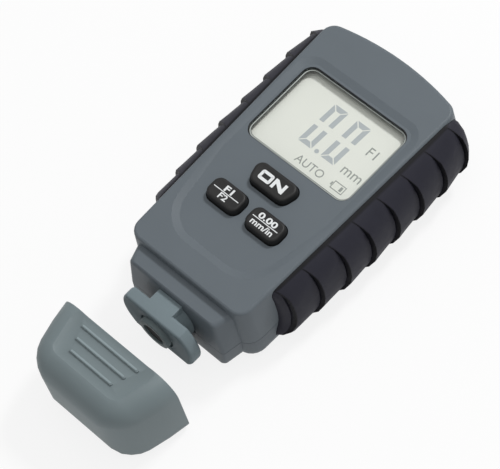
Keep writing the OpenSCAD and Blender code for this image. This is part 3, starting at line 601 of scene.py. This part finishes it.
class GAUGE_OT_finish_solids(bpy.types.Operator):
    """Gives every solid of the gauge its finish"""

    bl_idname = "gauge.finish_solids"
    bl_label = "Finish solids"

    def execute(self, context):
        for node, solid in frame["nodes"].items():
            solid.data.materials.clear()
            solid.data.materials.append(finish_of(SLOT_OF[node]))
        return {"FINISHED"}


class GAUGE_OT_dress_case(bpy.types.Operator):
    """Makes the covers, grips, battery cover and lens with their moulded edges"""

    bl_idname = "gauge.dress_case"
    bl_label = "Dress case"

    def execute(self, context):
        for node in ("front_cover", "rear_cover"):
            dress(node, level=True)
        for node in ("left_grip", "right_grip"):
            dress(node)
        for node in ("battery_cover", "display_window"):
            dress(node, context.scene.gauge_sizes.edge)
        return {"FINISHED"}


class GAUGE_OT_dress_probe(bpy.types.Operator):
    """Makes the probe disc, its sleeve, core and spring, and the loose cap"""

    bl_idname = "gauge.dress_probe"
    bl_label = "Dress probe and cap"

    # The cap's ridges: the first one's length and distance from the mouth, and by how much each next
    # one is shorter and further in
    RIDGES = 3
    RIDGE_LENGTH = 22.6 * MM
    RIDGE_SHORTER = 3 * MM
    RIDGE_FROM_MOUTH = 3 * MM
    RIDGE_PITCH = 3.9 * MM
    # Underside and top of the painted highlights on the ridges' crests, above the cap's top
    CREST_LOW = 0.02 * MM
    CREST_HIGH = 0.12 * MM

    def execute(self, context):
        edge = context.scene.gauge_sizes.edge
        dress("probe_housing", edge)
        dress("probe_sleeve", edge / 2)
        dress("probe_core")
        dress("cap", edge)
        self.spring()
        self.ridge_crest_highlights(context.scene.gauge_sizes)
        return {"FINISHED"}

    def spring(self):
        """The probe's spring, dressed, in a mesh of its own; the real one shortens when the probe is
        pressed.
        """
        low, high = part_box("probe_spring")
        joints = {joint["name"]: joint for joint in frame["record"]["behaviour"]["joints"]}
        travel = joints["probe_press"]["range_m"][1]
        seat = ((low.x + high.x) / 2, high.y, (low.z + high.z) / 2)
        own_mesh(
            dress("probe_spring"), "probe_press", (0, 1, 0), seat, keep=1 - travel / (high.y - low.y)
        )

    def ridge_crest_highlights(self, sizes):
        """Paler crests on the cap's ridges: painted highlights where the ridges catch the light."""
        mouth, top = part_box("cap")[1].y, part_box("cap")[1].z
        bm = bmesh.new()
        for i in range(self.RIDGES):
            length = self.RIDGE_LENGTH - self.RIDGE_SHORTER * i
            centre = (0, mouth - self.RIDGE_FROM_MOUTH - self.RIDGE_PITCH * i)
            half = (length / 2, sizes.crest / 2)
            rounded_bar(bm, centre, half, top + self.CREST_LOW, top + self.CREST_HIGH)
        add_piece("cap_ridge_crest_highlights", bm, BODY_OF["cap"], "cap_grey", "cap_crest_highlight")


class GAUGE_OT_dress_keys(bpy.types.Operator):
    """Makes the keys with shallow fields on their tops and their white legends"""

    bl_idname = "gauge.dress_keys"
    bl_label = "Dress keys"

    # Width of the rim round a key's field, depth in which its top face is looked for, and the turn
    # in degrees from which its edges are crisp
    RIM = 0.35 * MM
    TOP_DEPTH = 0.02 * MM
    KEY_TURN = 50
    # The power key's letters: width, line, gap and corner in letter heights, then stem and slant in
    # line widths
    LETTER_WIDTH, LETTER_LINE, LETTER_GAP, LETTER_CORNER = 1.38, 0.29, 0.16, 0.24
    STEM, SLANT = 1.05, 1.5
    # The lower keys' words, the bar between them and the space above and below it
    UPPER_WORD = {"wide": 1.5, "bold": 0.03}
    LOWER_WORD = {"wide": 1.2, "bold": 0.02}
    PAIR_BAR = (10 * MM, 0.28 * MM)
    PAIR_SPACE = 0.35 * MM

    def execute(self, context):
        sizes = context.scene.gauge_sizes
        for node in ("key_power", "key_mode", "key_zero"):
            self.key(node, sizes)
        self.power_legend(sizes)
        self.pair_legend("key_mode", "F1", "F2", sizes)
        self.pair_legend("key_zero", "0.00", "mm/in", sizes)
        return {"FINISHED"}

    def key(self, node, sizes):
        """A key with its flat top sunk a little inside its rim."""
        bm = solid_copy(node)
        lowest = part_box(node)[1].z - self.TOP_DEPTH
        tops = [f for f in bm.faces if f.calc_center_median().z > lowest]
        top = max(tops, key=lambda f: f.calc_area())
        bmesh.ops.inset_region(bm, faces=[top], thickness=self.RIM, depth=-sizes.key_sink)
        replace_solid(node, bm, sharp=self.KEY_TURN)

    def levels(self, node, sizes):
        """Lowest and highest level of the ink on a key."""
        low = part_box(node)[1].z - sizes.key_sink
        return low - sizes.ink / 2, low + sizes.ink

    def middle(self, node):
        """Middle of a key."""
        low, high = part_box(node)
        return (low + high) / 2

    def power_legend(self, sizes):
        """A ring and three bars that read ON."""
        bm = bmesh.new()
        low, high = self.levels("key_power", sizes)
        middle = self.middle("key_power")
        h = sizes.power_letter
        w, line, gap = self.LETTER_WIDTH * h, self.LETTER_LINE * h, self.LETTER_GAP * h
        centre = (middle.x - (w + gap) / 2, middle.y)
        rounded_ring(bm, centre, (w / 2, h / 2), line, self.LETTER_CORNER * h, low, high)
        left, right = middle.x + gap / 2, middle.x + gap / 2 + w
        foot, head = middle.y - h / 2, middle.y + h / 2
        stem, slant = self.STEM * line, self.SLANT * line
        bars = (
            [(left, foot), (left + stem, foot), (left + stem, head), (left, head)],
            [(right - stem, foot), (right, foot), (right, head), (right - stem, head)],
            [
                (right - stem, foot), (right - stem, foot + slant),
                (left + stem, head), (left + stem, head - slant),
            ],
        )
        for outline in bars:
            plate(bm, outline, low, high)
        bmesh.ops.recalc_face_normals(bm, faces=bm.faces)
        add_piece("power_legend", bm, BODY_OF["key_power"], "key_black", "legend_white")

    def pair_legend(self, node, upper, lower, sizes):
        """Two words with a bar between them."""
        bm = bmesh.new()
        low, high = self.levels(node, sizes)
        middle = self.middle(node)
        size = sizes.pair_letter
        rise = size / 2 + self.PAIR_SPACE
        letters(bm, upper, (middle.x, middle.y + rise), size, low, high, **self.UPPER_WORD)
        letters(bm, lower, (middle.x, middle.y - rise), size, low, high, **self.LOWER_WORD)
        bar(bm, (middle.x, middle.y), self.PAIR_BAR, low, high)
        bmesh.ops.recalc_face_normals(bm, faces=bm.faces)
        add_piece(node + "_legend", bm, BODY_OF[node], "key_black", "legend_white")


class GAUGE_OT_mark_display(bpy.types.Operator):
    """Draws the display's large figures and its small marks on the display cell"""

    bl_idname = "gauge.mark_display"
    bl_label = "Mark display"

    # Ends of the strokes of a nought, in shares of its width and height
    STROKES = (
        ((0, 1), (1, 1)), ((0, 0.5), (0, 1)), ((1, 0.5), (1, 1)),
        ((0, 0), (0, 0.5)), ((1, 0), (1, 0.5)), ((0, 0), (1, 0)),
    )
    # Lean of the figures, gap at a stroke's ends and, in stroke widths, what is cut off at mid height
    LEAN = 0.042
    STROKE_GAP = 0.26 * MM
    STROKE_CUT = 0.45
    # Left edges of the figures, and their foot from the middle of the display
    FIGURE_LEFTS = (-7.0 * MM, 2.2 * MM)
    FIGURE_FOOT = -6.0 * MM
    # The point between the figures: its radius, and its middle from the centre line and the foot
    POINT_RADIUS = 0.75 * MM
    POINT_PLACE = (0.4 * MM, 0.5 * MM)
    POINT_STEPS = 24
    # Small words, their places from the middle of the display, and their height in letter heights
    WORDS = (
        ("AUTO", 2.3 * MM, -10.6 * MM, 0.95),
        ("mm", 14.2 * MM, -5.2 * MM, 0.8),
        ("F1", 14.2 * MM, 4.3 * MM, 1.1),
    )
    # The battery sign: its place from the middle of the display, size, line, terminal and charge
    SIGN_PLACE = (14.0 * MM, -10.7 * MM)
    SIGN_SIZE = (4.6 * MM, 2.9 * MM)
    SIGN_LINE = 0.28 * MM
    TERMINAL = (0.5 * MM, 1.2 * MM)
    TERMINAL_OUT = 0.35 * MM
    CHARGE = (0.9 * MM, 1.6 * MM)
    CHARGE_IN = 1.25 * MM

    def execute(self, context):
        sizes = context.scene.gauge_sizes
        low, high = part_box("lcd_glass")
        self.level = high.z
        self.middle = (low + high) / 2
        self.figures(sizes)
        self.small_marks(sizes)
        return {"FINISHED"}

    def figures(self, sizes):
        """Two large figures with a point between them."""
        bm = bmesh.new()
        bottom = self.middle.y + self.FIGURE_FOOT
        for left in self.FIGURE_LEFTS:
            for ends in self.STROKES:
                self.stroke(bm, ends, left, bottom, sizes)
        x, y = self.POINT_PLACE
        dot = bmesh.ops.create_circle(
            bm, cap_ends=True, radius=self.POINT_RADIUS, segments=self.POINT_STEPS
        )["verts"]
        bmesh.ops.translate(bm, verts=dot, vec=(x, bottom + y, self.level))
        raise_faces(bm, dot[0].link_faces[:], sizes.ink)
        bmesh.ops.recalc_face_normals(bm, faces=bm.faces)
        add_piece("display_figures", bm, "case", "lcd", "segment_grey")

    def stroke(self, bm, ends, left, bottom, sizes):
        """One stroke of a figure: a bar inside the figure's outline with mitred ends."""
        (x0, y0), (_, y1) = ends
        w, h, s, gap = sizes.figure_width, sizes.figure_height, sizes.stroke, self.STROKE_GAP
        if y0 == y1:
            y = y0 * h
            inner = y - s if y0 > 0.5 else y + s
            points = [(gap, y), (w - gap, y), (w - s - gap, inner), (s + gap, inner)]
        else:
            x = x0 * w
            inner = x - s if x0 > 0.5 else x + s
            foot, head, cut = y0 * h + gap, y1 * h - gap, self.STROKE_CUT * s
            feet = (foot, foot + s) if y0 == 0 else (foot + cut, foot + cut)
            heads = (head, head - s) if y1 == 1 else (head - cut, head - cut)
            points = [(x, feet[0]), (x, heads[0]), (inner, heads[1]), (inner, feet[1])]
        outline = [(left + px + self.LEAN * py, bottom + py) for px, py in points]
        plate(bm, outline, self.level, self.level + sizes.ink)

    def small_marks(self, sizes):
        """Small words and a battery sign."""
        bm = bmesh.new()
        low, high = self.level, self.level + sizes.ink
        for word, x, y, share in self.WORDS:
            letters(bm, word, (x, self.middle.y + y), sizes.mark_letter * share, low, high)
        x, y = self.SIGN_PLACE[0], self.middle.y + self.SIGN_PLACE[1]
        (w, h), line = self.SIGN_SIZE, self.SIGN_LINE
        for side in (-1, 1):
            bar(bm, (x, y + side * (h - line) / 2), (w, line), low, high)
            bar(bm, (x + side * (w - line) / 2, y), (line, h - 2 * line), low, high)
        bar(bm, (x - w / 2 - self.TERMINAL_OUT, y), self.TERMINAL, low, high)
        bar(bm, (x + w / 2 - self.CHARGE_IN, y), self.CHARGE, low, high)
        bmesh.ops.recalc_face_normals(bm, faces=bm.faces)
        add_piece("display_marks", bm, "case", "lcd", "mark_grey")


class GAUGE_OT_window_border_and_shade(bpy.types.Operator):
    """Makes black rings round the lens, its printed border and painted shade, and a band of painted
    highlight
    """

    bl_idname = "gauge.window_seal"
    bl_label = "Window border and shade"

    # Thickness of a band, place of the printed line on the lens, and place of the ring of painted
    # shade under it
    BAND = 0.06 * MM
    BORDER_INSET = 0.01 * MM
    BORDER_RISE = 0.02 * MM
    SHADE_RING_INSET = 0.2 * MM

    def execute(self, context):
        sizes = context.scene.gauge_sizes
        low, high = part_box("display_window")
        middle = (low + high) / 2
        half = Vector((high.x - low.x, high.y - low.y)) / 2 - Vector((1, 1)) * sizes.lens_flange
        corner = sizes.lens_corner
        inner = sizes.lens_inset + sizes.lens_bevel_highlight
        deep = high.z - sizes.lens_depth
        shade_ring_width = sizes.lens_inset - self.SHADE_RING_INSET
        border_top = high.z + self.BORDER_RISE
        black = bmesh.new()
        # The printed border on the lens's top, and under it a black ring of painted shade for the
        # opening's shaded wall
        self.band(black, middle, half, self.BORDER_INSET, sizes.lens_border, corner, border_top)
        self.band(black, middle, half, self.SHADE_RING_INSET, shade_ring_width, corner, deep)
        self.band(black, middle, half, inner, sizes.lens_line, corner, deep)
        add_piece("window_seal", black, "case", "black_plastic")
        # Band of painted highlight of the lens's bevelled edge
        highlight = bmesh.new()
        self.band(highlight, middle, half, sizes.lens_inset, sizes.lens_bevel_highlight, corner, deep)
        add_piece("window_bevel_highlight", highlight, "case", "clear_lens", "lens_bevel_highlight")
        return {"FINISHED"}

    def band(self, bm, middle, half, inset, width, corner, top):
        """Thin band on the lens, some way inside its outline."""
        inner = half - Vector((inset, inset))
        rounded_ring(bm, middle.xy, inner, width, corner - inset, top - self.BAND, top)


class GAUGE_OT_stage(bpy.types.Operator):
    """Sets the pale floor, the soft studio light and the camera"""

    bl_idname = "gauge.stage"
    bl_label = "Stage"

    # Middle of the picture
    TARGET = Vector((-0.76, 2.71, 14.0)) * MM
    # Side in metres and place of the two soft boxes
    OVERHEAD_BOX = (1.0, (0.1, 0.05, 1.2))
    FAR_BOX = (0.2, (0.1, 0.8, 1.0))
    # Half width of the floor in metres, and its distance below the gauge
    FLOOR_HALF = 3
    FLOOR_DROP = 0.05 * MM
    # Nearest distance that the camera sees
    NEAREST = 10 * MM

    def execute(self, context):
        scene = context.scene
        stage = scene.gauge_stage
        scene.view_settings.view_transform = "Standard"
        self.floor(scene, stage)
        self.world(scene, stage)
        self.lamp(scene, "overhead_box", stage.top_light, *self.OVERHEAD_BOX)
        self.lamp(scene, "far_box", stage.key_light, *self.FAR_BOX)
        self.camera(scene, stage)
        return {"FINISHED"}

    def floor(self, scene, stage):
        """Level floor under the gauge."""
        bm = bmesh.new()
        bmesh.ops.create_grid(bm, x_segments=1, y_segments=1, size=self.FLOOR_HALF)
        bmesh.ops.translate(bm, verts=bm.verts, vec=(0, 0, -self.FLOOR_DROP))
        mesh = bpy.data.meshes.new("floor")
        bm.to_mesh(mesh)
        bm.free()
        mesh.materials.append(self.floor_finish(stage))
        floor = bpy.data.objects.new("floor", mesh)
        scene.collection.objects.link(floor)

    def floor_finish(self, stage):
        """Dull pale paint that looks nearly white to the camera and still takes a shadow."""
        finish = Finish("floor_pale")
        tone = tuple(stage.floor)
        matt = finish.node(
            "ShaderNodeBsdfPrincipled",
            None,
            {"Base Color": finish.cloudy(tone, size=0.3, darker=0.01), "Roughness": 0.9},
        )
        glow = finish.node("ShaderNodeEmission", None, {"Strength": 1.0})
        share = stage.floor_glow * finish.seen()
        return finish.close(finish.node("ShaderNodeMixShader", None, {0: share, 1: matt, 2: glow}))

    def world(self, scene, stage):
        """Even light for the object, and a plain pale ground behind it."""
        scene.world = bpy.data.worlds.new("studio")
        scene.world.use_nodes = True
        graph = Graph(scene.world.node_tree)
        strength = stage.world_light + (1 - stage.world_light) * graph.seen()
        light = graph.node("ShaderNodeBackground", None, {"Strength": strength})
        graph.node("ShaderNodeOutputWorld", None, {"Surface": light})

    def lamp(self, scene, name, power, size, place):
        """Square soft box that faces the object."""
        light = bpy.data.lights.new(name, "AREA")
        light.energy = power
        light.size = size
        lamp = bpy.data.objects.new(name, light)
        lamp.location = place
        lamp.rotation_euler = (self.TARGET - Vector(place)).to_track_quat("-Z", "Y").to_euler()
        scene.collection.objects.link(lamp)

    def camera(self, scene, stage):
        """Camera at the photograph's angle."""
        az, el = stage.azimuth, stage.elevation
        ahead = -Vector((sin(az) * cos(el), -cos(az) * cos(el), sin(el)))
        level = ahead.cross(Vector((0, 0, 1))).normalized()
        upright = level.cross(ahead)
        right = cos(stage.roll) * level + sin(stage.roll) * upright
        up = cos(stage.roll) * upright - sin(stage.roll) * level
        turn = Matrix((right, up, -ahead)).transposed()
        data = bpy.data.cameras.new("camera")
        data.sensor_width = SENSOR_WIDTH
        data.lens = stage.focal_pixels * SENSOR_WIDTH / IMAGE_WIDTH
        data.clip_start = self.NEAREST
        camera = bpy.data.objects.new("camera", data)
        camera.matrix_world = Matrix.Translation(self.TARGET - stage.distance * ahead) @ turn.to_4x4()
        scene.collection.objects.link(camera)
        scene.camera = camera


class GAUGE_PT_panel(bpy.types.Panel):
    """Lists the gauge's steps, colours, sizes and studio"""

    bl_idname = "GAUGE_PT_panel"
    bl_label = "Coating thickness gauge"
    bl_space_type = "VIEW_3D"
    bl_region_type = "UI"
    bl_category = "Gauge"

    def draw(self, context):
        for operator in OPERATORS:
            self.layout.operator(operator.bl_idname)
        scene = context.scene
        for group in (scene.gauge_colours, scene.gauge_sizes, scene.gauge_stage):
            box = self.layout.box()
            for name in group.__annotations__:
                box.prop(group, name)


OPERATORS = (
    GAUGE_OT_finish_solids,
    GAUGE_OT_dress_case,
    GAUGE_OT_dress_probe,
    GAUGE_OT_dress_keys,
    GAUGE_OT_mark_display,
    GAUGE_OT_window_border_and_shade,
    GAUGE_OT_stage,
)
CLASSES = (GaugeColours, GaugeSizes, GaugeStage, *OPERATORS, GAUGE_PT_panel)


def register():
    for item in CLASSES:
        bpy.utils.register_class(item)
    bpy.types.Scene.gauge_colours = PointerProperty(type=GaugeColours)
    bpy.types.Scene.gauge_sizes = PointerProperty(type=GaugeSizes)
    bpy.types.Scene.gauge_stage = PointerProperty(type=GaugeStage)


def unregister():
    del bpy.types.Scene.gauge_stage
    del bpy.types.Scene.gauge_sizes
    del bpy.types.Scene.gauge_colours
    for item in reversed(CLASSES):
        bpy.utils.unregister_class(item)


def main():
    """Builds the scene."""
    register()
    bpy.ops.gauge.finish_solids()
    bpy.ops.gauge.dress_case()
    bpy.ops.gauge.dress_probe()
    bpy.ops.gauge.dress_keys()
    bpy.ops.gauge.mark_display()
    bpy.ops.gauge.window_seal()
    bpy.ops.gauge.stage()


if __name__ == "__main__":
    main()
